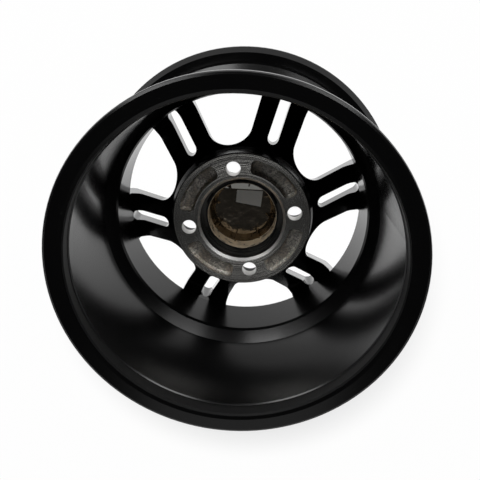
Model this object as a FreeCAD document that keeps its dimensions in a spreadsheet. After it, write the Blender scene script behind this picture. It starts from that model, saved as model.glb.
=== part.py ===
import FreeCAD, Part
import math
import os

import Sketcher

# Cast alloy wheel with a snap-in centre cap, in millimetres.
# Origin at the centre of the hub's mounting pad. +Z is the wheel's axis and points inboard,
# so the wheel lies on the fronts of its spokes with the pad facing up.
# Depths are measured from the pad towards the front of the wheel, heights towards the back.

SIZES = {
    # Rim, tyre side
    "bead_seat_radius": 152.0,
    "flange_height": 14.0,
    "flange_width": 13.6,
    "flange_crown_width": 6.6,
    "flange_crown_drop": 5.0,
    "bead_seat_width": 18.0,
    "bead_seat_fall": 1.5,
    "hump_height": 1.3,
    "hump_width": 3.0,
    "well_wall": 5.0,
    "well_start_depth": 8.0,
    "well_end_depth": 31.0,
    "shoulder_height": 4.5,
    "barrel_wall": 5.2,
    # Rim, wheel side
    "inboard_lip_height": 127.7,
    "outboard_lip_depth": 77.3,
    "lip_wall": 3.9,
    "lip_ledge": 1.2,
    "barrel_mouth_height": 109.4,
    "barrel_taper": 6.8,
    "barrel_foot_height": 7.1,
    "step_width": 10.9,
    "throat_start_depth": 4.9,
    "throat_taper": 2.7,
    "throat_end_depth": 53.8,
    "throat_edge": 1.4,
    "dish_wall": 2.0,
    "dish_end_depth": 73.5,
    "lip_lead_in": 1.5,
    "lip_round": 2.6,
    "lip_inner_round": 4.0,
    "step_ease": 2.0,
    # Disc and spokes
    "pad_radius": 71.0,
    "pad_edge": 0.8,
    "pad_draft": 1.0,
    "pad_side_depth": 12.9,
    "valley_depth": 61.0,
    "valley_width": 10.5,
    "valley_fall": 2.4,
    "valley_ease": 2.6,
    "spoke_front_depth": 87.5,
    "front_flat_width": 11.5,
    "spoke_end_depth": 75.5,
    "hub_front_rim": 5.0,
    "hub_depth": 30.0,
    "root_ease": 2.5,
    "spoke_pairs": 6,
    "pair_half_width": 23.7,
    "pair_spread": 6.1,
    "slot_half_width": 5.7,
    "slot_inner_radius": 80.0,
    "slot_overrun": 0.5,
    "slot_corner": 5.4,
    "window_round": 27.8,
    "window_round_front": 18.1,
    "window_draft": 2.7,
    # Hub
    "bore_radius": 43.0,
    "bore_chamfer": 2.5,
    "bore_depth": 12.0,
    "bore_step": 2.0,
    "ledge_depth": 16.0,
    "lug_count": 4,
    "lug_circle_radius": 55.0,
    "lug_hole_radius": 7.4,
    "lug_seat_depth": 11.0,
    "lug_seat_angle": 60.0,
    "lug_socket_radius": 12.5,
    "pocket_inner_radius": 50.0,
    "pocket_outer_radius": 65.0,
    "pocket_angle": 54.0,
    "pocket_depth": 6.0,
    "pocket_corner": 5.0,
    "pocket_floor_chamfer": 2.4,
    # Valve hole
    "valve_hole_radius": 5.75,
    "valve_wall": 4.0,
    "valve_spot_radius": 8.5,
    "valve_spot_depth": 2.1,
    "valve_pocket_radius": 9.5,
    "valve_tilt": 20.0,
    "valve_angle": 270.0,
    # Centre cap
    "cap_skirt_radius": 37.8,
    "cap_fit": 0.4,
    "cap_wall": 2.2,
    "cap_skirt_rise": 1.5,
    "cap_rim_radius": 41.5,
    "cap_rim_thickness": 3.0,
    "cap_crown_depth": 9.0,
    "cap_crown_radius": 30.0,
    "cap_hook_count": 6,
    "cap_hook_angle": 18.0,
    "cap_hook_turn": 21.4,
    "cap_hook_reach": 1.6,
    "cap_hook_height": 2.6,
    "cap_hook_play": 0.2,
    # How far cuts run past the faces that they open
    "cut_margin": 3.0,
}


class Size:
    """A length: its number now, and the sheet expression that keeps it up to date."""

    def __init__(self, number, text):
        self.number = number
        self.text = text

    def __add__(self, other):
        return Size(self.number + other.number, "(%s + %s)" % (self.text, other.text))

    def __sub__(self, other):
        return Size(self.number - other.number, "(%s - %s)" % (self.text, other.text))

    def __mul__(self, factor):
        return Size(self.number * factor, "(%s * %.9f)" % (self.text, factor))

    def __neg__(self):
        return self * -1.0


doc = FreeCAD.newDocument("alloy_wheel")
sheet = doc.addObject("Spreadsheet::Sheet", "Sizes")
for row, (alias, number) in enumerate(SIZES.items(), start=1):
    sheet.set("A%d" % row, alias)
    sheet.set("B%d" % row, str(number))
    sheet.setAlias("B%d" % row, alias)
doc.recompute()

ZERO = Size(0.0, "0")
FULL_TURN = 360.0
# Most of a pocket's width that a corner's round takes, and most of that round that a wall's foot takes
ROUND_SHARE = 0.45
FOOT_SHARE = 0.8


def size(alias):
    return Size(float(SIZES[alias]), "Sizes." + alias)


# Sizes that several features share

bead_seat = size("bead_seat_radius")
bead_seat_inner = bead_seat - size("bead_seat_fall")
flange_radius = bead_seat + size("flange_height")
flange_crown = flange_radius - size("flange_crown_drop")
inboard_lip = size("inboard_lip_height")
inboard_wall = inboard_lip - size("flange_width")
inboard_hump = inboard_wall - size("bead_seat_width")
outboard_lip = -size("outboard_lip_depth")
outboard_wall = outboard_lip + size("flange_width")
outboard_hump = outboard_wall + size("bead_seat_width")
hump_top = bead_seat_inner + size("hump_height")
outboard_hump_top = outboard_hump + size("hump_width")

lip_bore = bead_seat - size("lip_wall")
barrel_mouth = lip_bore - size("lip_ledge")
barrel_foot = barrel_mouth - size("barrel_taper")
throat_start = barrel_foot - size("step_width")
throat_end = throat_start - size("throat_taper")
well_radius = throat_start + size("well_wall")
shoulder_radius = barrel_foot + size("barrel_wall")
dish_radius = bead_seat - size("dish_wall")

pad_radius = size("pad_radius")
cap_bore_radius = size("cap_skirt_radius") + size("cap_fit")
hub_front = -size("hub_depth")
ledge = -size("ledge_depth")

half_pitch = math.pi / SIZES["spoke_pairs"]


def vector(point):
    return FreeCAD.Vector(point[0].number, point[1].number, 0)


def origin_plane(body, role):
    return [item for item in body.Origin.OriginFeatures if item.Role == role][0]


def pin(sketch, kind, axis, edge, end, length):
    """Ties one coordinate of an edge's end to the sheet."""
    if length is ZERO:
        sketch.addConstraint(Sketcher.Constraint("PointOnObject", edge, end, axis))
        return
    index = sketch.addConstraint(Sketcher.Constraint(kind, -1, 1, edge, end, length.number))
    name = "%s_%d" % (kind, index)
    sketch.renameConstraint(index, name)
    sketch.setExpression("Constraints." + name, length.text)


def outline(body, name, plane, points, arcs=None, turn=0.0, lift=ZERO):
    """Closed outline through points, turned about the wheel's axis or lifted off its plane.

    arcs gives, for an edge, its radius and a point that it bulges towards.
    """
    sketch = body.newObject("Sketcher::SketchObject", name)
    sketch.AttachmentSupport = [(origin_plane(body, plane), "")]
    sketch.MapMode = "FlatFace"
    upright = FreeCAD.Vector(0, 1, 0)
    raised = FreeCAD.Vector(0, 0, lift.number)
    sketch.AttachmentOffset = FreeCAD.Placement(raised, FreeCAD.Rotation(upright, turn))
    sketch.setExpression("AttachmentOffset.Base.z", lift.text)
    arcs = arcs or {}
    count = len(points)
    ends = []
    for i in range(count):
        start = vector(points[i])
        finish = vector(points[(i + 1) % count])
        if i not in arcs:
            sketch.addGeometry(Part.LineSegment(start, finish), False)
            ends.append((1, 2))
            continue
        radius, towards = arcs[i]
        chord = finish - start
        middle = (start + finish) * 0.5
        side = FreeCAD.Vector(-chord.y, chord.x, 0)
        side.normalize()
        if side.dot(vector(towards) - middle) < 0:
            side = side * -1.0
        rise = radius.number - math.sqrt(radius.number ** 2 - chord.Length ** 2 / 4)
        crest = middle + side * rise
        clockwise = chord.cross(side).z > 0
        if clockwise:
            sketch.addGeometry(Part.Arc(finish, crest, start), False)
            ends.append((2, 1))
        else:
            sketch.addGeometry(Part.Arc(start, crest, finish), False)
            ends.append((1, 2))
    for i in range(count):
        follower = (i + 1) % count
        sketch.addConstraint(Sketcher.Constraint("Coincident", i, ends[i][1], follower, ends[follower][0]))
    for i, (across, up) in enumerate(points):
        pin(sketch, "DistanceX", -2, i, ends[i][0], across)
        pin(sketch, "DistanceY", -1, i, ends[i][0], up)
    for i, (radius, towards) in arcs.items():
        index = sketch.addConstraint(Sketcher.Constraint("Radius", i, radius.number))
        label = "Radius_%d" % index
        sketch.renameConstraint(index, label)
        sketch.setExpression("Constraints." + label, radius.text)
    return sketch


def eased(corners):
    """Outline points of corners given as (across, up, setback, facets).

    A corner with one facet is chamfered. One with two follows an arc that touches both edges
    at the setback.
    """
    points = []
    count = len(corners)
    for i, (across, up, *ease) in enumerate(corners):
        if not ease:
            points.append((across, up))
            continue
        setback, facets = ease
        sides = []
        for neighbour in (corners[i - 1], corners[(i + 1) % count]):
            run = neighbour[0] - across, neighbour[1] - up
            share = setback.number / math.hypot(run[0].number, run[1].number)
            sides.append((run[0] * share, run[1] * share))
        before, after = sides
        points.append((across + before[0], up + before[1]))
        if facets == 2:
            half_turn = math.acos(math.hypot(before[0].number - after[0].number,
                                             before[1].number - after[1].number) / 2 / setback.number)
            crest = (1 / math.cos(half_turn) - 1) / math.tan(half_turn) / math.sin(half_turn) / 2
            points.append((across + (before[0] + after[0]) * crest, up + (before[1] + after[1]) * crest))
        points.append((across + after[0], up + after[1]))
    return points


def revolve(body, name, sketch):
    feature = body.newObject("PartDesign::Revolution", name)
    feature.Profile = sketch
    feature.ReferenceAxis = (sketch, ["V_Axis"])
    feature.Angle = FULL_TURN
    doc.recompute()
    return feature


def pocket_through(body, name, sketch):
    feature = body.newObject("PartDesign::Pocket", name)
    feature.Profile = sketch
    feature.Type = "ThroughAll"
    feature.Midplane = True
    doc.recompute()
    return feature


def ring_pattern(body, name, originals, axis, count):
    feature = body.newObject("PartDesign::PolarPattern", name)
    feature.Originals = originals
    feature.Axis = axis
    feature.Angle = FULL_TURN
    feature.setExpression("Occurrences", "Sizes." + count)
    body.Tip = feature
    doc.recompute()
    return feature


# Rim: one turned section from lip to lip

def add_rim(body):
    crown_width = size("flange_crown_width")
    ledge_height = size("barrel_mouth_height") + size("lip_ledge")
    lip_round = size("lip_round")
    mouth_round = size("lip_inner_round")
    section = [
        (flange_radius, inboard_lip, lip_round, 2),
        (lip_bore, inboard_lip, mouth_round, 2),
        (lip_bore, ledge_height),
        (barrel_mouth, size("barrel_mouth_height")),
        (barrel_foot, size("barrel_foot_height")),
        (throat_start, -size("throat_start_depth"), size("step_ease"), 1),
        (throat_end, -size("throat_end_depth")),
        (throat_end + size("throat_edge"), -size("throat_end_depth") - size("throat_edge") * 2.0),
        (dish_radius, -size("dish_end_depth")),
        (dish_radius + size("lip_lead_in"), outboard_lip),
        (flange_radius, outboard_lip, lip_round, 1),
        (flange_radius, outboard_wall - crown_width),
        (flange_crown, outboard_wall),
        (bead_seat, outboard_wall),
        (bead_seat_inner, outboard_hump),
        (hump_top, outboard_hump_top),
        (well_radius, -size("well_end_depth")),
        (well_radius, -size("well_start_depth")),
        (shoulder_radius, size("shoulder_height")),
        (hump_top, inboard_hump - size("hump_width")),
        (bead_seat_inner, inboard_hump),
        (bead_seat, inboard_wall),
        (flange_crown, inboard_wall),
        (flange_radius, inboard_wall + crown_width),
    ]
    sketch = outline(body, "rim_section", "XZ_Plane", eased(section))
    revolve(body, "rim_turned", sketch)


def cut_valve_hole(body):
    """Valve hole through the slope beside the well, spot-faced there, with a pocket from the front."""
    tilt = math.radians(SIZES["valve_tilt"])
    slope_radius = (hump_top + well_radius) * 0.5
    slope_depth = (outboard_hump_top - size("well_end_depth")) * 0.5
    hole = size("valve_hole_radius")
    spot = size("valve_spot_radius")
    pocket = size("valve_pocket_radius")
    seat = -size("valve_spot_depth")
    pocket_end = seat - size("valve_wall")
    reach = size("flange_height") * 2.0

    def place(out, along):
        """A point beside the valve's axis: out from it, and along it from the slope."""
        across = slope_radius + out * math.cos(tilt) + along * math.sin(tilt)
        up = slope_depth - out * math.sin(tilt) + along * math.cos(tilt)
        return across, up

    corners = [
        place(ZERO, reach),
        place(spot, reach),
        place(spot, seat),
        place(hole, seat),
        place(hole, pocket_end),
        place(pocket, pocket_end),
        place(pocket, pocket_end - reach),
        place(ZERO, pocket_end - reach),
    ]
    sketch = outline(body, "valve_section", "XZ_Plane", corners, turn=SIZES["valve_angle"])
    groove = body.newObject("PartDesign::Groove", "valve_hole")
    groove.Profile = sketch
    groove.ReferenceAxis = (sketch, ["Edge%d" % len(corners)])
    groove.Angle = FULL_TURN
    doc.recompute()


# Disc: hub, spokes, windows and slots

def add_disc(body):
    bore = size("bore_radius")
    chamfer = size("bore_chamfer")
    pad_foot = pad_radius + size("pad_draft")
    valley_start = throat_end - size("valley_width")
    inside_rim = throat_end + size("well_wall") * 0.5
    rim_side = -size("throat_end_depth") - size("throat_edge")
    valley_end = -size("valley_depth") - size("valley_fall")
    front = -size("spoke_front_depth")
    valley_ease = size("valley_ease")
    root_ease = size("root_ease")
    section = [
        (cap_bore_radius, hub_front),
        (cap_bore_radius, ledge),
        (bore - size("bore_step"), ledge),
        (bore - size("bore_step"), -size("bore_depth")),
        (bore, -size("bore_depth")),
        (bore, -chamfer),
        (bore + chamfer, ZERO),
        (pad_radius, ZERO, size("pad_edge"), 1),
        (pad_foot, -size("pad_side_depth"), root_ease, 1),
        (valley_start, -size("valley_depth"), valley_ease, 1),
        (throat_end, valley_end),
        (inside_rim, rim_side),
        (bead_seat, outboard_wall - size("lip_round")),
        (bead_seat, -size("spoke_end_depth")),
        (throat_end + size("front_flat_width"), front, root_ease, 1),
        (throat_end, front, root_ease, 1),
        (pad_radius + size("hub_front_rim"), hub_front, root_ease, 1),
    ]
    sketch = outline(body, "disc_section", "XZ_Plane", eased(section))
    revolve(body, "disc_turned", sketch)


def cut_windows(body):
    """Windows between the spoke pairs, and the slot that splits each pair.

    A pair spreads towards the rim, and a window's walls draw back towards the front.
    """
    sine = math.sin(half_pitch)
    cosine = math.cos(half_pitch)
    spread = math.radians(SIZES["pair_spread"])
    front = -size("spoke_front_depth") - size("cut_margin")
    half = size("pair_half_width")
    front_half = half + front * math.tan(math.radians(SIZES["window_draft"]))

    def beside_pair(along, away):
        """A point along a pair's centre line and away from it, for the window centred on +Y."""
        return along * sine - away * cosine, along * cosine + away * sine

    def window_outline(name, width, bend, lift):
        """Outline between two pairs of this half width at the pad's edge, with a rounded hub end."""
        clear_of_axis = width * math.cos(spread) - pad_radius * math.sin(spread)
        centre = (bend + clear_of_axis) * (1 / math.sin(half_pitch - spread))
        right = [
            beside_pair(centre * cosine + bend * math.sin(spread), centre * sine - bend * math.cos(spread)),
            beside_pair(flange_radius, width + (flange_radius - pad_radius) * math.tan(spread)),
        ]
        left = [(-across, up) for across, up in reversed(right)]
        hub_end = len(right) + len(left) - 1
        hub_side = (ZERO, ZERO)
        return outline(body, name, "XY_Plane", right + left, {hub_end: (bend, hub_side)}, lift=lift)

    window_cut = body.newObject("PartDesign::SubtractiveLoft", "window")
    window_cut.Profile = window_outline("window_back", half, size("window_round"), ZERO)
    front_outline = window_outline("window_front", front_half, size("window_round_front"), front)
    window_cut.Sections = [(front_outline, [""])]
    window_cut.Ruled = True
    doc.recompute()

    slot = size("slot_half_width")
    corner = size("slot_corner")
    tip = size("slot_inner_radius")
    far = throat_end + size("slot_overrun")
    slot_points = [
        (tip + slot, -slot),
        (far - corner, -slot),
        (far, -slot + corner),
        (far, slot - corner),
        (far - corner, slot),
        (tip + slot, slot),
        (tip, ZERO),
    ]
    lower_rim_side = (flange_radius, -flange_radius)
    upper_rim_side = (flange_radius, flange_radius)
    slot_arcs = {
        1: (corner, lower_rim_side),
        3: (corner, upper_rim_side),
        5: (slot, (ZERO, flange_radius)),
        6: (slot, (ZERO, -flange_radius)),
    }
    slot_sketch = outline(body, "slot_outline", "XY_Plane", slot_points, slot_arcs)
    slot_cut = pocket_through(body, "slot", slot_sketch)
    ring_pattern(body, "spoke_ring", [window_cut, slot_cut], (slot_sketch, ["N_Axis"]), "spoke_pairs")


def cut_lug_holes(body):
    """Plain hole from the pad, then a conical seat and a nut socket from the front."""
    circle = size("lug_circle_radius")
    hole = size("lug_hole_radius")
    socket = size("lug_socket_radius")
    seat = -size("lug_seat_depth")
    seat_slope = 1.0 / math.tan(math.radians(SIZES["lug_seat_angle"] / 2))
    seat_end = seat - (socket - hole) * seat_slope
    margin = size("cut_margin")
    corners = [
        (circle, margin),
        (circle + hole, margin),
        (circle + hole, seat),
        (circle + socket, seat_end),
        (circle + socket, hub_front - margin),
        (circle, hub_front - margin),
    ]
    sketch = outline(body, "lug_section", "XZ_Plane", corners)
    groove = body.newObject("PartDesign::Groove", "lug_hole")
    groove.Profile = sketch
    groove.ReferenceAxis = (sketch, ["Edge%d" % len(corners)])
    groove.Angle = FULL_TURN
    doc.recompute()
    ring_pattern(body, "lug_ring", [groove], (sketch, ["V_Axis"]), "lug_count")


def cut_pad_pockets(body):
    """Curved pockets cast into the pad between the lug holes, with round corners and sloping feet."""
    inner = size("pocket_inner_radius")
    outer = size("pocket_outer_radius")
    floor = -size("pocket_depth")
    corners = [
        (inner, ZERO),
        (outer, ZERO),
        (outer, floor),
        (inner, floor),
    ]
    between_lugs = FULL_TURN / SIZES["lug_count"] / 2
    sketch = outline(body, "pocket_section", "XZ_Plane", corners, turn=between_lugs)
    groove = body.newObject("PartDesign::Groove", "pad_pocket")
    groove.Profile = sketch
    groove.ReferenceAxis = (sketch, ["V_Axis"])
    groove.Midplane = True
    groove.setExpression("Angle", "Sizes.pocket_angle")
    doc.recompute()
    ring = ring_pattern(body, "pocket_ring", [groove], (sketch, ["V_Axis"]), "lug_count")

    rounds = body.newObject("PartDesign::Fillet", "pocket_corner_rounds")
    rounds.Base = (ring, pocket_edges(ring, [0.0, floor.number]))
    widest_round = (outer - inner) * ROUND_SHARE
    corner = "min(Sizes.pocket_corner; %s)" % widest_round.text
    rounds.setExpression("Radius", corner)
    doc.recompute()
    feet = body.newObject("PartDesign::Chamfer", "pocket_wall_feet")
    feet.Base = (rounds, pocket_edges(rounds, [floor.number, floor.number]))
    foot_limits = "%s * %g; Sizes.pocket_depth * %g" % (corner, FOOT_SHARE, FOOT_SHARE)
    feet.setExpression("Size", "min(Sizes.pocket_floor_chamfer; %s)" % foot_limits)
    doc.recompute()


def pocket_edges(feature, heights):
    """Names of a feature's edges along the pockets' walls, with their two ends at these heights."""
    near = 1e-4
    inner = SIZES["pocket_inner_radius"]
    outer = SIZES["pocket_outer_radius"]
    names = []
    for index, edge in enumerate(feature.Shape.Edges, start=1):
        ends = [vertex.Point for vertex in edge.Vertexes]
        levels = sorted((end.z for end in ends), reverse=True)
        reaches = [math.hypot(end.x, end.y) for end in ends]
        in_ring = inner - near < min(reaches) and max(reaches) < outer + near
        on_round_wall = min(abs(reaches[0] - inner), abs(reaches[0] - outer)) < near
        on_end_wall = abs(reaches[0] - reaches[-1]) > near
        if len(ends) == 2 and in_ring and (on_round_wall or on_end_wall):
            if max(abs(a - b) for a, b in zip(levels, heights)) < near:
                names.append("Edge%d" % index)
    return names


# Centre cap: a thin cup with a rim on the front of the hub and hooks behind the bore's ledge

def make_cap():
    body = doc.addObject("PartDesign::Body", "centre_cap")
    skirt = size("cap_skirt_radius")
    wall = size("cap_wall")
    rim = size("cap_rim_radius")
    rim_front = hub_front - size("cap_rim_thickness")
    crown = rim_front - size("cap_crown_depth")
    crown_radius = size("cap_crown_radius")
    skirt_end = ledge + size("cap_skirt_rise")
    section = [
        (ZERO, crown),
        (crown_radius, crown),
        (rim, rim_front),
        (rim, hub_front),
        (skirt, hub_front),
        (skirt, skirt_end),
        (skirt - wall, skirt_end),
        (skirt - wall, rim_front),
        (crown_radius, crown + wall),
        (ZERO, crown + wall),
    ]
    sketch = outline(body, "cap_section", "XZ_Plane", section)
    revolve(body, "cap_turned", sketch)

    hook_start = ledge + size("cap_hook_play")
    hook_end = hook_start + size("cap_hook_height")
    reach = skirt + size("cap_hook_reach")
    hook = [
        (skirt - wall, hook_start),
        (reach, hook_start),
        (skirt, hook_end),
        (skirt - wall, hook_end),
    ]
    hook_sketch = outline(body, "hook_section", "XZ_Plane", hook, turn=SIZES["cap_hook_turn"])
    hooks = body.newObject("PartDesign::Revolution", "cap_hook")
    hooks.Profile = hook_sketch
    hooks.ReferenceAxis = (hook_sketch, ["V_Axis"])
    hooks.Midplane = True
    hooks.setExpression("Angle", "Sizes.cap_hook_angle")
    doc.recompute()
    ring_pattern(body, "cap_hook_ring", [hooks], (hook_sketch, ["V_Axis"]), "cap_hook_count")
    return body


def write_parts(parts):
    doc.recompute()
    for item in doc.Objects:
        if "Invalid" in item.State or "Error" in item.State:
            raise RuntimeError("%s failed: %s" % (item.Label, item.State))
    os.makedirs("parts", exist_ok=True)
    for part in parts:
        shape = part.Shape
        if shape.isNull() or not shape.isValid():
            raise RuntimeError("%s has no valid shape" % part.Label)
        print("%s: %d solid, %.1f cm3" % (part.Label, len(shape.Solids), shape.Volume / 1000))
        shape.exportStep("parts/%s.step" % part.Label)


wheel = doc.addObject("PartDesign::Body", "wheel")
add_disc(wheel)
cut_windows(wheel)
add_rim(wheel)
cut_valve_hole(wheel)
cut_lug_holes(wheel)
cut_pad_pockets(wheel)
centre_cap = make_cap()
write_parts([wheel, centre_cap])
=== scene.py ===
import math

import bmesh
import bpy
from mathutils import Matrix, Vector


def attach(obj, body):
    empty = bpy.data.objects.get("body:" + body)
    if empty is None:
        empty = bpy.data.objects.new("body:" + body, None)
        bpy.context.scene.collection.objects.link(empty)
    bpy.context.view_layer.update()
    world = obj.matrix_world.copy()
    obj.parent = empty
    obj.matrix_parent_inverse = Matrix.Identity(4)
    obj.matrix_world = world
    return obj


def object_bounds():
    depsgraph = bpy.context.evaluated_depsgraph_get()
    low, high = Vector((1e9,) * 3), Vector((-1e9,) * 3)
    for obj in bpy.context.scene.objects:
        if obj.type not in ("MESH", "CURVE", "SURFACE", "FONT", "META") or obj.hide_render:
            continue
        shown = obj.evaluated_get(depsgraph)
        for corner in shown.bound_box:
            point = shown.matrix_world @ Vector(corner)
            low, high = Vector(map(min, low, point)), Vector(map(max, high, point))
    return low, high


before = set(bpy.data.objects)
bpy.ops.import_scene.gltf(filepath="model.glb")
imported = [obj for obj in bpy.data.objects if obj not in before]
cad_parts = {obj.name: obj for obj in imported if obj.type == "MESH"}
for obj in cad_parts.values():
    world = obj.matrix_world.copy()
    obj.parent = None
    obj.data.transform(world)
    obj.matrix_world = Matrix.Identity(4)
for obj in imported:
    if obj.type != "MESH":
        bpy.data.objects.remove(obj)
cad_low, cad_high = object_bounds()

# Sizes of the wheel, in metres, in the frame's own axes: +Z is the wheel's axis, the pad lies at Z = 0

MM = 0.001
LIP_HEIGHT = cad_high.z
FLOOR_HEIGHT = cad_low.z
WHEEL_RADIUS = cad_high.x
PAD_RADIUS = 71 * MM
PAD_EDGE = 0.8 * MM
BORE_RADIUS = 43 * MM
BORE_CHAMFER = 2.5 * MM
LUG_CIRCLE = 55 * MM
LUG_HOLE_RADIUS = 7.4 * MM
LUG_SEAT_DEPTH = 11 * MM
POCKET_INNER = 50 * MM
POCKET_OUTER = 65 * MM
POCKET_DEPTH = 6 * MM

# Limits that tell the painted surfaces apart, set a little clear of the surfaces themselves

HUB_LIMIT = 77 * MM
THROAT_LIMIT = 124 * MM
THROAT_END_LIMIT = -54.5 * MM
MOUTH_LIMIT = 149 * MM
MOUTH_START_LIMIT = 110.4 * MM

# Sizes of the cap: its skirt, its floor and what lies on it

CAP_SKIRT_INNER = 35.6 * MM
CAP_PLATED_RADIUS = 36.1 * MM
CAP_RIM_BACK = -30 * MM
CAP_SLOPE_TOP = -33 * MM
CAP_FLOOR = -39.8 * MM
CAP_FLOOR_RADIUS = 30 * MM
CAP_REFLECTION_BAND_SIDE = (0.191, 0.982, 0.0)
CAP_REFLECTION_BAND_START = 21.5 * MM
LABEL_CORNERS = [(-3.3, 21.3), (23.8, 16.0), (19.0, -1.1), (-6.7, 7.9)]
LABEL_THICKNESS = 0.3 * MM
RIB_COUNT = 8
RIB_INNER = 25 * MM
RIB_TOP = -26 * MM
RIB_THICKNESS = 1.4 * MM

# Viewpoint: a turn about the wheel's axis, then a yaw and a tilt of the camera

VIEW_TURN = math.radians(-8.6)
VIEW_TILT = math.radians(21.31)
VIEW_YAW = math.radians(-2.81)
VIEW_OFFSET = Vector((4.77, 26.04, 563.4)) * MM
LENS = 49.77
SENSOR = 36.0
CLIP_START = 0.01


class Graph:
    """The nodes of one material, made by short calls."""

    def __init__(self, name):
        self.material = bpy.data.materials.new(name)
        self.material.use_nodes = True
        self.nodes = self.material.node_tree.nodes
        self.nodes.clear()
        self.output = self.nodes.new("ShaderNodeOutputMaterial")

    def put(self, socket, value):
        """Sets a socket to a number or colour, or links another node's output to it."""
        if isinstance(value, bpy.types.NodeSocket):
            self.material.node_tree.links.new(value, socket)
        else:
            socket.default_value = value

    def add(self, kind, settings=None, **inputs):
        """A new node. Inputs are given by name, with _ for a space."""
        node = self.nodes.new("ShaderNode" + kind)
        for name, value in (settings or {}).items():
            setattr(node, name, value)
        for name, value in inputs.items():
            self.put(node.inputs[name.replace("_", " ")], value)
        return node

    def coordinates(self, place):
        """The x, y and z of a place, and its distance from the wheel's axis."""
        x, y, z = self.add("SeparateXYZ", Vector=place).outputs
        across = self.add("CombineXYZ", X=x, Y=y).outputs[0]
        return x, y, z, self.vector("LENGTH", across)

    def vector(self, operation, *values):
        """The number that a vector operation gives."""
        node = self.add("VectorMath", {"operation": operation})
        for socket, value in zip(node.inputs, values):
            self.put(socket, value)
        return node.outputs["Value"]

    def math(self, operation, *values):
        node = self.add("Math", {"operation": operation})
        for socket, value in zip(node.inputs, values):
            self.put(socket, value)
        return node.outputs[0]

    def product(self, first, *others):
        for other in others:
            first = self.math("MULTIPLY", first, other)
        return first

    def largest(self, first, *others):
        for other in others:
            first = self.math("MAXIMUM", first, other)
        return first

    def outside(self, share):
        """What a share leaves of 1."""
        return self.math("SUBTRACT", 1.0, share)

    def between(self, factor, low, high):
        """A number that goes from low to high as factor goes from 0 to 1."""
        node = self.add("Mix", {"data_type": "FLOAT"})
        self.put(node.inputs[0], factor)
        self.put(node.inputs[2], low)
        self.put(node.inputs[3], high)
        return node.outputs[0]

    def blend(self, factor, low, high):
        """A colour that goes from low to high as factor goes from 0 to 1."""
        node = self.add("Mix", {"data_type": "RGBA"})
        self.put(node.inputs[0], factor)
        self.put(node.inputs[6], low)
        self.put(node.inputs[7], high)
        return node.outputs[2]

    def rise(self, value, start, end):
        """0 below start and 1 above end, smooth between them. With start above end it falls instead."""
        node = self.add("MapRange", {"interpolation_type": "SMOOTHSTEP"}, Value=value)
        node.inputs["From Min"].default_value = min(start, end)
        node.inputs["From Max"].default_value = max(start, end)
        node.inputs["To Min"].default_value = 0.0 if start < end else 1.0
        node.inputs["To Max"].default_value = 1.0 if start < end else 0.0
        return node.outputs["Result"]

    def band(self, value, low, high, blur):
        """1 from low to high, and 0 outside."""
        risen = self.rise(value, low - blur, low + blur)
        return self.product(risen, self.rise(value, high + blur, high - blur))

    def noise(self, vector, scale, detail, roughness=0.5):
        node = self.add("TexNoise", Vector=vector, Scale=scale, Detail=detail, Roughness=roughness)
        return node.outputs["Fac"]

    def rings(self, radius, scale):
        """Noise that changes with the radius alone, as turning marks do."""
        node = self.add("TexNoise", {"noise_dimensions": "1D"}, W=radius, Scale=scale, Detail=2.0)
        return node.outputs["Fac"]

    def bump(self, height, distance, strength=1.0, normal=None):
        node = self.add("Bump", Height=height, Distance=distance, Strength=strength)
        if normal is not None:
            self.put(node.inputs["Normal"], normal)
        return node.outputs["Normal"]

    def surface(self, shader):
        self.put(self.output.inputs["Surface"], shader)
        return self.material


def grey(level):
    return (level, level, level, 1.0)


def tint(colour, factor=1.0):
    return tuple(factor * part for part in colour) + (1.0,)


def tints(colour, factors):
    return [tint(colour, factor) for factor in factors]


# Looks of the casting. Tints, edges and roughness with two values are the ends of a range.
# A noise is given by its scale and detail, and by its roughness where it has one of its own.

MASK_EDGE = 0.1 * MM
WALL_SLANT = (0.4, 0.3)
PAINT_COLOUR = (0.0018, 0.0018, 0.0019)
PAINT_TINTS = (1.0, 1.5)
PAINT_CLOUD = (38.0, 4.0)
PAINT_PEEL = (520.0, 2.0)
TURNED_METAL = (0.66, 0.65, 0.62)
TURNED_TINTS = (0.8, 1.1)
TURNING_SCALE = 900.0
WIDE_TURNING_SCALE = 300.0
# Painted shade: inside the bore the machined metal is the turned metal darkened to this share.
BORE_PAINTED_SHADE = 0.2
BRIGHT_METAL = (0.90, 0.89, 0.87)
CAST_METAL = (0.72, 0.69, 0.63)
CAST_TINTS = (0.85, 1.25)
CAST_CLOUD = (130.0, 4.0, 0.6)
CAST_CLOUD_EDGE = (0.35, 0.65)
CAST_GRAIN = (600.0, 3.0, 0.6)
CAST_GRAIN_EDGE = (0.38, 0.6)
CAST_GRAIN_TINT = 0.42
CAST_STAIN = (0.42, 0.33, 0.25)
CAST_STAINING = (60.0, 2.0)
CAST_STAIN_EDGE = (0.48, 0.62)
CAST_STAIN_SHARE = 0.6
PAINT_SPECULAR = 0.27
PAINT_ROUGHNESS = (0.18, 0.23)
PAD_ROUGHNESS = (0.18, 0.25)
POCKET_ROUGHNESS = (0.3, 0.46)
BORE_ROUGHNESS = 0.4
MOUTH_ROUGHNESS = 0.5
BRIGHT_ROUGHNESS = 0.45
WALL_COAT_ROUGHNESS = 0.12
PEEL_DEPTH = 0.02 * MM
PEEL_STRENGTH = 0.5
TURNING_DEPTH = 0.4 * MM
CAST_GRAIN_DEPTH = 1.1 * MM


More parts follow.
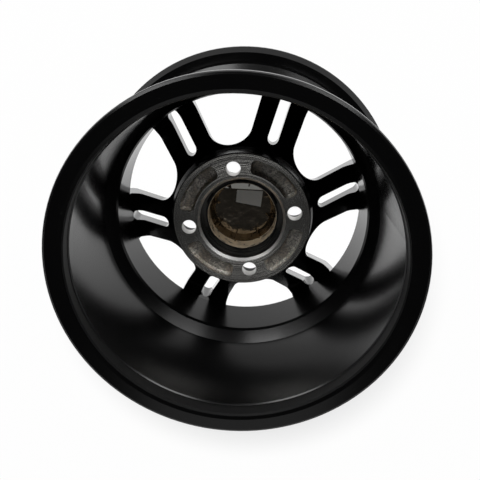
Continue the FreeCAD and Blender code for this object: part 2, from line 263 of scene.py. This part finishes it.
def casting_masks(g, x, y, z, radius, slant):
    """Shares from 0 to 1: where the casting is machined or raw, and where its paint is glossier or duller.
    """
    edge = MASK_EDGE
    lug_reach = []
    for first, second in ((x, y), (y, x)):
        along = g.math("SUBTRACT", g.math("ABSOLUTE", first), LUG_CIRCLE)
        squares = g.math("ADD", g.product(along, along), g.product(second, second))
        lug_reach.append(g.math("SQRT", squares))
    lug_distance = g.math("MINIMUM", *lug_reach)
    lug_hole = g.product(
        g.rise(lug_distance, LUG_HOLE_RADIUS + 3 * edge, LUG_HOLE_RADIUS + 2 * edge),
        g.rise(z, -LUG_SEAT_DEPTH - edge, -LUG_SEAT_DEPTH + edge),
    )
    chamfer = g.product(
        g.band(radius, BORE_RADIUS - edge, BORE_RADIUS + BORE_CHAMFER, edge),
        g.rise(z, -BORE_CHAMFER - 2 * edge, -BORE_CHAMFER),
    )
    pad = g.product(
        g.band(radius, BORE_RADIUS + BORE_CHAMFER, PAD_RADIUS + edge, edge),
        g.rise(z, -PAD_EDGE - 2 * edge, -PAD_EDGE),
    )
    pocket = g.product(
        g.band(radius, POCKET_INNER - edge, POCKET_OUTER + edge, edge),
        g.band(z, -POCKET_DEPTH - 2 * edge, -2 * edge, edge),
        g.outside(lug_hole),
    )
    mouth = g.product(
        g.rise(radius, MOUTH_LIMIT + 3 * edge, MOUTH_LIMIT - 3 * edge),
        g.rise(z, MOUTH_START_LIMIT - edge, MOUTH_START_LIMIT + edge),
    )
    past_throat = g.largest(
        g.rise(radius, THROAT_LIMIT + edge, THROAT_LIMIT - edge),
        g.rise(z, THROAT_END_LIMIT + edge, THROAT_END_LIMIT - edge),
    )
    window_wall = g.product(
        g.rise(g.math("ABSOLUTE", slant), *WALL_SLANT),
        g.band(radius, HUB_LIMIT, MOUTH_LIMIT, edge),
        past_throat,
    )
    return {
        "pad": pad,
        "bore": g.rise(radius, BORE_RADIUS + 2 * edge, BORE_RADIUS + edge),
        "bright": g.largest(lug_hole, chamfer),
        "pocket": pocket,
        "mouth": mouth,
        "window_wall": window_wall,
    }


def casting_material():
    """Satin black paint, bare metal where the hub was machined, and raw casting in the hub's pockets.

    The paint is glossier on the walls of windows and slots, and duller in the rim's mouth. Inside the bore
    the bare metal is a darker copy of the turned metal, as painted shade.
    """
    g = Graph("painted_casting")
    texture = g.add("TexCoord")
    place = texture.outputs["Object"]
    slant = g.add("SeparateXYZ", Vector=texture.outputs["Normal"]).outputs["Z"]
    x, y, z, radius = g.coordinates(place)
    masks = casting_masks(g, x, y, z, radius, slant)
    pad, bore, bright, pocket = [masks[name] for name in ("pad", "bore", "bright", "pocket")]
    metal = g.largest(pad, bore, bright, pocket)

    cloud = g.noise(place, *PAINT_CLOUD)
    peel = g.noise(place, *PAINT_PEEL)
    cast_grain = g.noise(place, *CAST_GRAIN)
    cast_cloud = g.noise(place, *CAST_CLOUD)
    staining = g.noise(place, *CAST_STAINING)
    turning = g.rings(radius, TURNING_SCALE)
    wide_turning = g.rings(radius, WIDE_TURNING_SCALE)

    paint = g.blend(cloud, *tints(PAINT_COLOUR, PAINT_TINTS))
    turned = g.blend(wide_turning, *tints(TURNED_METAL, TURNED_TINTS))
    cast = g.blend(g.rise(cast_cloud, *CAST_CLOUD_EDGE), *tints(CAST_METAL, CAST_TINTS))
    stained = g.product(g.rise(staining, *CAST_STAIN_EDGE), CAST_STAIN_SHARE)
    cast = g.blend(stained, cast, tint(CAST_STAIN))
    cast = g.blend(g.rise(cast_grain, *CAST_GRAIN_EDGE), tint(CAST_METAL, CAST_GRAIN_TINT), cast)
    colour = g.blend(pad, paint, turned)
    # Painted shade: the bore's bare metal is a darkened copy of the turned metal.
    colour = g.blend(bore, colour, tint(TURNED_METAL, BORE_PAINTED_SHADE))
    colour = g.blend(pocket, colour, cast)
    colour = g.blend(bright, colour, tint(BRIGHT_METAL))

    roughness = g.between(pad, g.between(cloud, *PAINT_ROUGHNESS), g.between(turning, *PAD_ROUGHNESS))
    roughness = g.between(bore, roughness, BORE_ROUGHNESS)
    roughness = g.between(masks["mouth"], roughness, MOUTH_ROUGHNESS)
    roughness = g.between(pocket, roughness, g.between(cast_grain, *POCKET_ROUGHNESS))
    roughness = g.between(bright, roughness, BRIGHT_ROUGHNESS)

    normal = g.bump(g.product(peel, g.outside(metal)), PEEL_DEPTH, PEEL_STRENGTH)
    normal = g.bump(g.product(turning, pad), TURNING_DEPTH, normal=normal)
    normal = g.bump(g.product(cast_grain, pocket), CAST_GRAIN_DEPTH, normal=normal)
    shader = g.add(
        "BsdfPrincipled",
        Base_Color=colour,
        Metallic=metal,
        Roughness=roughness,
        Specular_IOR_Level=PAINT_SPECULAR,
        Coat_Weight=masks["window_wall"],
        Coat_Roughness=WALL_COAT_ROUGHNESS,
        Normal=normal,
    )
    return g.surface(shader.outputs[0])


# Looks of the cap and its label

CAP_BLUR = 1 * MM
SMOKY_CHROME = (0.50, 0.43, 0.34)
CHROME_TINTS = (0.5, 1.2)
CHROME_CLOUD = (75.0, 4.0)
CHROME_HAZE = (300.0, 4.0)
CHROME_ROUGHNESS = (0.05, 0.2)
CHROME_WAVE = (95.0, 2.0)
WAVE_DEPTH = 0.9 * MM
WAVE_STRENGTH = 0.6
# Painted reflection band: a darker, greyer chrome, with leaning normals, on one side of the cap's floor.
REFLECTION_BAND_CHROME = (0.20, 0.198, 0.185)
REFLECTION_BAND_TILT = 0.2
# Painted reflection: a bright golden, mostly non-metallic tone on the skirt's inner wall, broken by
# blotches.
GOLD_PAINTED_REFLECTION = (0.97, 0.80, 0.58)
REFLECTION_BLOTCH = (130.0, 3.0)
REFLECTION_BLOTCH_EDGE = (0.35, 0.55)
REFLECTION_COVER = (0.55, 1.0)
GOLD_WALL_PLAIN_SHARE = 0.85
GOLD_WALL_ROUGHNESS = 0.42
BLACK_PLASTIC = (0.006, 0.006, 0.006)
LABEL_FOIL = (0.86, 0.85, 0.81)
LABEL_TINTS = (0.85, 1.1)
LABEL_SHADE = (90.0, 3.0)
LABEL_METALLIC = 0.9
LABEL_ROUGHNESS = (0.34, 0.44)


def plating_material():
    """Dark smoky chrome with the slight waves of a moulded cap.

    The skirt's outside is bare black. A golden tone on its inner wall, broken by blotches, is a painted
    reflection, and a darker, greyer chrome with leaning normals on one side of the floor is a painted
    reflection band.
    """
    g = Graph("smoky_chrome")
    place = g.add("TexCoord").outputs["Object"]
    z, radius = g.coordinates(place)[2:]
    bare = g.product(
        g.rise(radius, CAP_PLATED_RADIUS - MASK_EDGE, CAP_PLATED_RADIUS + MASK_EDGE),
        g.rise(z, CAP_RIM_BACK - 2 * MASK_EDGE, CAP_RIM_BACK),
    )
    beyond = g.vector("DOT_PRODUCT", place, CAP_REFLECTION_BAND_SIDE)
    # Painted reflection band: the side of the floor where the chrome is greyer and its normals lean.
    reflection_band = g.product(
        g.rise(beyond, CAP_REFLECTION_BAND_START - 2 * MASK_EDGE, CAP_REFLECTION_BAND_START + 2 * MASK_EDGE),
        g.rise(z, CAP_SLOPE_TOP, CAP_SLOPE_TOP - CAP_BLUR),
        g.rise(z, CAP_FLOOR - CAP_BLUR, CAP_FLOOR - CAP_BLUR / 2),
    )
    cloud = g.noise(place, *CHROME_CLOUD)
    wave = g.noise(place, *CHROME_WAVE)
    haze = g.noise(place, *CHROME_HAZE)
    reflection_blotch = g.noise(place, *REFLECTION_BLOTCH)
    # Painted reflection: a golden tone on the skirt's inner wall, broken by blotches.
    gold_painted_reflection = g.product(
        g.rise(radius, CAP_SKIRT_INNER - CAP_BLUR, CAP_SKIRT_INNER - CAP_BLUR / 2),
        g.rise(z, CAP_SLOPE_TOP, CAP_SLOPE_TOP + CAP_BLUR),
        g.between(g.rise(reflection_blotch, *REFLECTION_BLOTCH_EDGE), *REFLECTION_COVER),
        g.outside(bare),
    )
    chrome = g.blend(cloud, *tints(SMOKY_CHROME, CHROME_TINTS))
    chrome = g.blend(reflection_band, chrome, tint(REFLECTION_BAND_CHROME))
    chrome = g.blend(gold_painted_reflection, chrome, tint(GOLD_PAINTED_REFLECTION))
    plain = g.largest(bare, g.product(gold_painted_reflection, GOLD_WALL_PLAIN_SHARE))
    ramp = g.product(g.math("SUBTRACT", beyond, CAP_REFLECTION_BAND_START), reflection_band)
    waves = g.bump(wave, WAVE_DEPTH, WAVE_STRENGTH)
    shader = g.add(
        "BsdfPrincipled",
        Base_Color=g.blend(bare, chrome, tint(BLACK_PLASTIC)),
        Metallic=g.outside(plain),
        Roughness=g.between(plain, g.between(haze, *CHROME_ROUGHNESS), GOLD_WALL_ROUGHNESS),
        Normal=g.bump(ramp, REFLECTION_BAND_TILT, normal=waves),
    )
    return g.surface(shader.outputs[0])


def label_material():
    """Blank satin foil with a faint unevenness."""
    g = Graph("label_foil")
    shade = g.noise(g.add("TexCoord").outputs["Object"], *LABEL_SHADE)
    shader = g.add(
        "BsdfPrincipled",
        Base_Color=g.blend(shade, *tints(LABEL_FOIL, LABEL_TINTS)),
        Metallic=LABEL_METALLIC,
        Roughness=g.between(shade, *LABEL_ROUGHNESS),
    )
    return g.surface(shader.outputs[0])


# Pieces inside the cap: a blank label on its floor, and the moulding's ribs


def add_piece(name, mesh, material):
    """Adds a finished mesh as a piece of the cap."""
    data = bpy.data.meshes.new(name)
    bmesh.ops.recalc_face_normals(mesh, faces=mesh.faces)
    mesh.to_mesh(data)
    mesh.free()
    data.materials.append(material)
    piece = bpy.data.objects.new(name, data)
    bpy.context.scene.collection.objects.link(piece)
    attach(piece, "root")


def add_prism(mesh, first_outline, second_outline):
    """A closed solid between two outlines with as many corners."""
    first = [mesh.verts.new(point) for point in first_outline]
    second = [mesh.verts.new(point) for point in second_outline]
    mesh.faces.new(first)
    mesh.faces.new(second)
    for i in range(len(first)):
        follower = (i + 1) % len(first)
        mesh.faces.new((first[i], first[follower], second[follower], second[i]))


def add_label():
    """A thin plate on the cap's floor. Its corners are in millimetres."""
    mesh = bmesh.new()
    heights = (CAP_FLOOR, CAP_FLOOR + LABEL_THICKNESS)
    add_prism(mesh, *[[(x * MM, y * MM, height) for x, y in LABEL_CORNERS] for height in heights])
    add_piece("cap_label", mesh, label_material())


def add_ribs(material):
    """Thin upright ribs on the cap's floor, in a ring, that run out to the skirt's inner wall."""
    mesh = bmesh.new()
    for i in range(RIB_COUNT):
        turn = 2 * math.pi * (i + 0.5) / RIB_COUNT
        along = Vector((math.cos(turn), math.sin(turn), 0))
        aside = Vector((-math.sin(turn), math.cos(turn), 0)) * (RIB_THICKNESS / 2)
        profile = [
            along * RIB_INNER + Vector((0, 0, CAP_FLOOR)),
            along * CAP_FLOOR_RADIUS + Vector((0, 0, CAP_FLOOR)),
            along * CAP_SKIRT_INNER + Vector((0, 0, CAP_SLOPE_TOP)),
            along * CAP_SKIRT_INNER + Vector((0, 0, RIB_TOP)),
        ]
        add_prism(mesh, [point + aside for point in profile], [point - aside for point in profile])
    add_piece("cap_ribs", mesh, material)


# Stage: a pale floor that curves up all round, soft lamps and the camera

FLOOR_RADIUS = 2.2
COVE_RADIUS = 0.9
COVE_TOP = 1.6
FLOOR_SEGMENTS = 96
COVE_STEPS = 12
FLOOR_GREYS = (0.86, 0.9)
FLOOR_SPECKLE = (80.0, 3.0)
OPEN_FLOOR_GLOW = 0.985
# Painted shadow: round SHADE_PLACE the floor keeps less of its white glow.
SHADED_FLOOR_GLOW = 0.76
INNER_FLOOR_GLOW = 1.0
INNER_FLOOR_EDGE = (0.9 * WHEEL_RADIUS, 0.98 * WHEEL_RADIUS)
# Painted shadow in reflections: below the hub the floor's glow falls to HUB_SHADE_GLOW.
HUB_SHADE = (0.055, 0.078)
HUB_SHADE_GLOW = 0.5
SHADE_PLACE = (0.0, -0.13, 0.0)
SHADE_REACH = (0.19, 0.25)
WORLD_LEVEL = 0.02

# Each lamp has a name, its place as seen from the viewpoint, its width and height, and its watts

LAMPS = [
    ("back_lamp", (-0.42, 1.39, 0.68), (0.5, 0.5), 6.5),
    ("soft_lamp_left", (-0.72, 1.03, 0.98), (0.6, 0.6), 9.0),
    ("soft_lamp_right", (0.72, 1.03, 0.98), (0.6, 0.6), 10.0),
    ("front_card", (-0.06, -1.05, 1.28), (0.6, 0.68), 0.85),
]


def seen_place(across, up, along):
    """A place as seen from the viewpoint: to the right, up in the picture, and along the wheel's axis."""
    return Matrix.Rotation(VIEW_TURN, 3, "Z") @ Vector((across, up, along))


def floor_material():
    """Pale floor, white to the eye, with the wheel's shadow kept.

    It is white in reflections too, but darker below the hub, a painted shadow of the hub.
    Round SHADE_PLACE less of the white glow is kept, a painted shadow, and more of the diffuse floor is
    seen with the lamps' real shadow on it.
    """
    g = Graph("pale_floor")
    place = g.add("TexCoord").outputs["Object"]
    radius = g.vector("LENGTH", place)
    speckle = g.noise(place, *FLOOR_SPECKLE)
    diffuse = g.add("BsdfDiffuse", Color=g.blend(speckle, *[grey(level) for level in FLOOR_GREYS]))
    white = g.add("Emission", Color=grey(1.0), Strength=1.0)
    path = g.add("LightPath").outputs
    # Painted shadow in reflections: the floor's glow is lowered below the hub.
    past_hub = g.between(g.rise(radius, *HUB_SHADE), HUB_SHADE_GLOW, 1.0)
    mirrored = g.product(path["Is Glossy Ray"], past_hub)
    seen = g.largest(path["Is Camera Ray"], path["Is Transmission Ray"], mirrored)
    # Painted shadow: less glow round SHADE_PLACE, where the lamps' real shadow also falls.
    reach = g.vector("DISTANCE", place, seen_place(*SHADE_PLACE))
    glow = g.between(g.rise(reach, *SHADE_REACH), SHADED_FLOOR_GLOW, OPEN_FLOOR_GLOW)
    glow = g.between(g.rise(radius, *INNER_FLOOR_EDGE), INNER_FLOOR_GLOW, glow)
    mixed = g.add("MixShader")
    g.put(mixed.inputs[0], g.product(seen, glow))
    g.put(mixed.inputs[1], diffuse.outputs[0])
    g.put(mixed.inputs[2], white.outputs[0])
    return g.surface(mixed.outputs[0])


def add_floor():
    """Flat floor with a cove and a low wall, turned about the wheel's axis."""
    profile = [(0.0, 0.0), (FLOOR_RADIUS, 0.0)]
    for step in range(1, COVE_STEPS + 1):
        turn = 0.5 * math.pi * step / COVE_STEPS
        profile.append((FLOOR_RADIUS + COVE_RADIUS * math.sin(turn), COVE_RADIUS * (1 - math.cos(turn))))
    profile.append((FLOOR_RADIUS + COVE_RADIUS, COVE_TOP))
    mesh = bmesh.new()
    rings = []
    for reach, height in profile:
        count = FLOOR_SEGMENTS if reach else 1
        turns = [2 * math.pi * i / FLOOR_SEGMENTS for i in range(count)]
        rings.append([mesh.verts.new((reach * math.cos(a), reach * math.sin(a), height)) for a in turns])
    for inner, outer in zip(rings, rings[1:]):
        for i in range(FLOOR_SEGMENTS):
            follower = (i + 1) % FLOOR_SEGMENTS
            corners = [inner[i % len(inner)], outer[i], outer[follower]]
            if len(inner) > 1:
                corners.append(inner[follower])
            mesh.faces.new(corners).smooth = True
    data = bpy.data.meshes.new("floor")
    mesh.to_mesh(data)
    mesh.free()
    floor = bpy.data.objects.new("floor", data)
    floor.location.z = FLOOR_HEIGHT
    data.materials.append(floor_material())
    bpy.context.scene.collection.objects.link(floor)


def add_lamp(name, place, size, watts):
    """Soft rectangular lamp that faces the wheel."""
    data = bpy.data.lights.new(name, "AREA")
    data.shape = "RECTANGLE"
    data.size, data.size_y = size
    data.energy = watts
    lamp = bpy.data.objects.new(name, data)
    lamp.location = seen_place(*place)
    lamp.rotation_mode = "QUATERNION"
    lamp.rotation_quaternion = (-lamp.location).to_track_quat("-Z", "Y")
    bpy.context.scene.collection.objects.link(lamp)


def add_world():
    world = bpy.data.worlds.new("studio")
    world.use_nodes = True
    background = world.node_tree.nodes["Background"]
    background.inputs["Color"].default_value = grey(1.0)
    background.inputs["Strength"].default_value = WORLD_LEVEL
    bpy.context.scene.world = world


def add_camera():
    data = bpy.data.cameras.new("camera")
    data.lens = LENS
    data.sensor_width = SENSOR
    data.clip_start = CLIP_START
    camera = bpy.data.objects.new("camera", data)
    camera.matrix_world = (
        Matrix.Translation((0, 0, LIP_HEIGHT))
        @ Matrix.Rotation(VIEW_TURN, 4, "Z")
        @ Matrix.Rotation(-VIEW_YAW, 4, "Y")
        @ Matrix.Rotation(-VIEW_TILT, 4, "X")
        @ Matrix.Translation(VIEW_OFFSET)
    )
    bpy.context.scene.collection.objects.link(camera)
    bpy.context.scene.camera = camera


def dress(node, material):
    """Gives one of the frame's nodes its material."""
    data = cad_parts[node].data
    data.materials.clear()
    data.materials.append(material)


bpy.context.scene.view_settings.view_transform = "Standard"
add_world()
add_camera()
add_floor()
for lamp_row in LAMPS:
    add_lamp(*lamp_row)

plating = plating_material()
dress("wheel", casting_material())
dress("centre_cap", plating)
add_label()
add_ribs(plating)
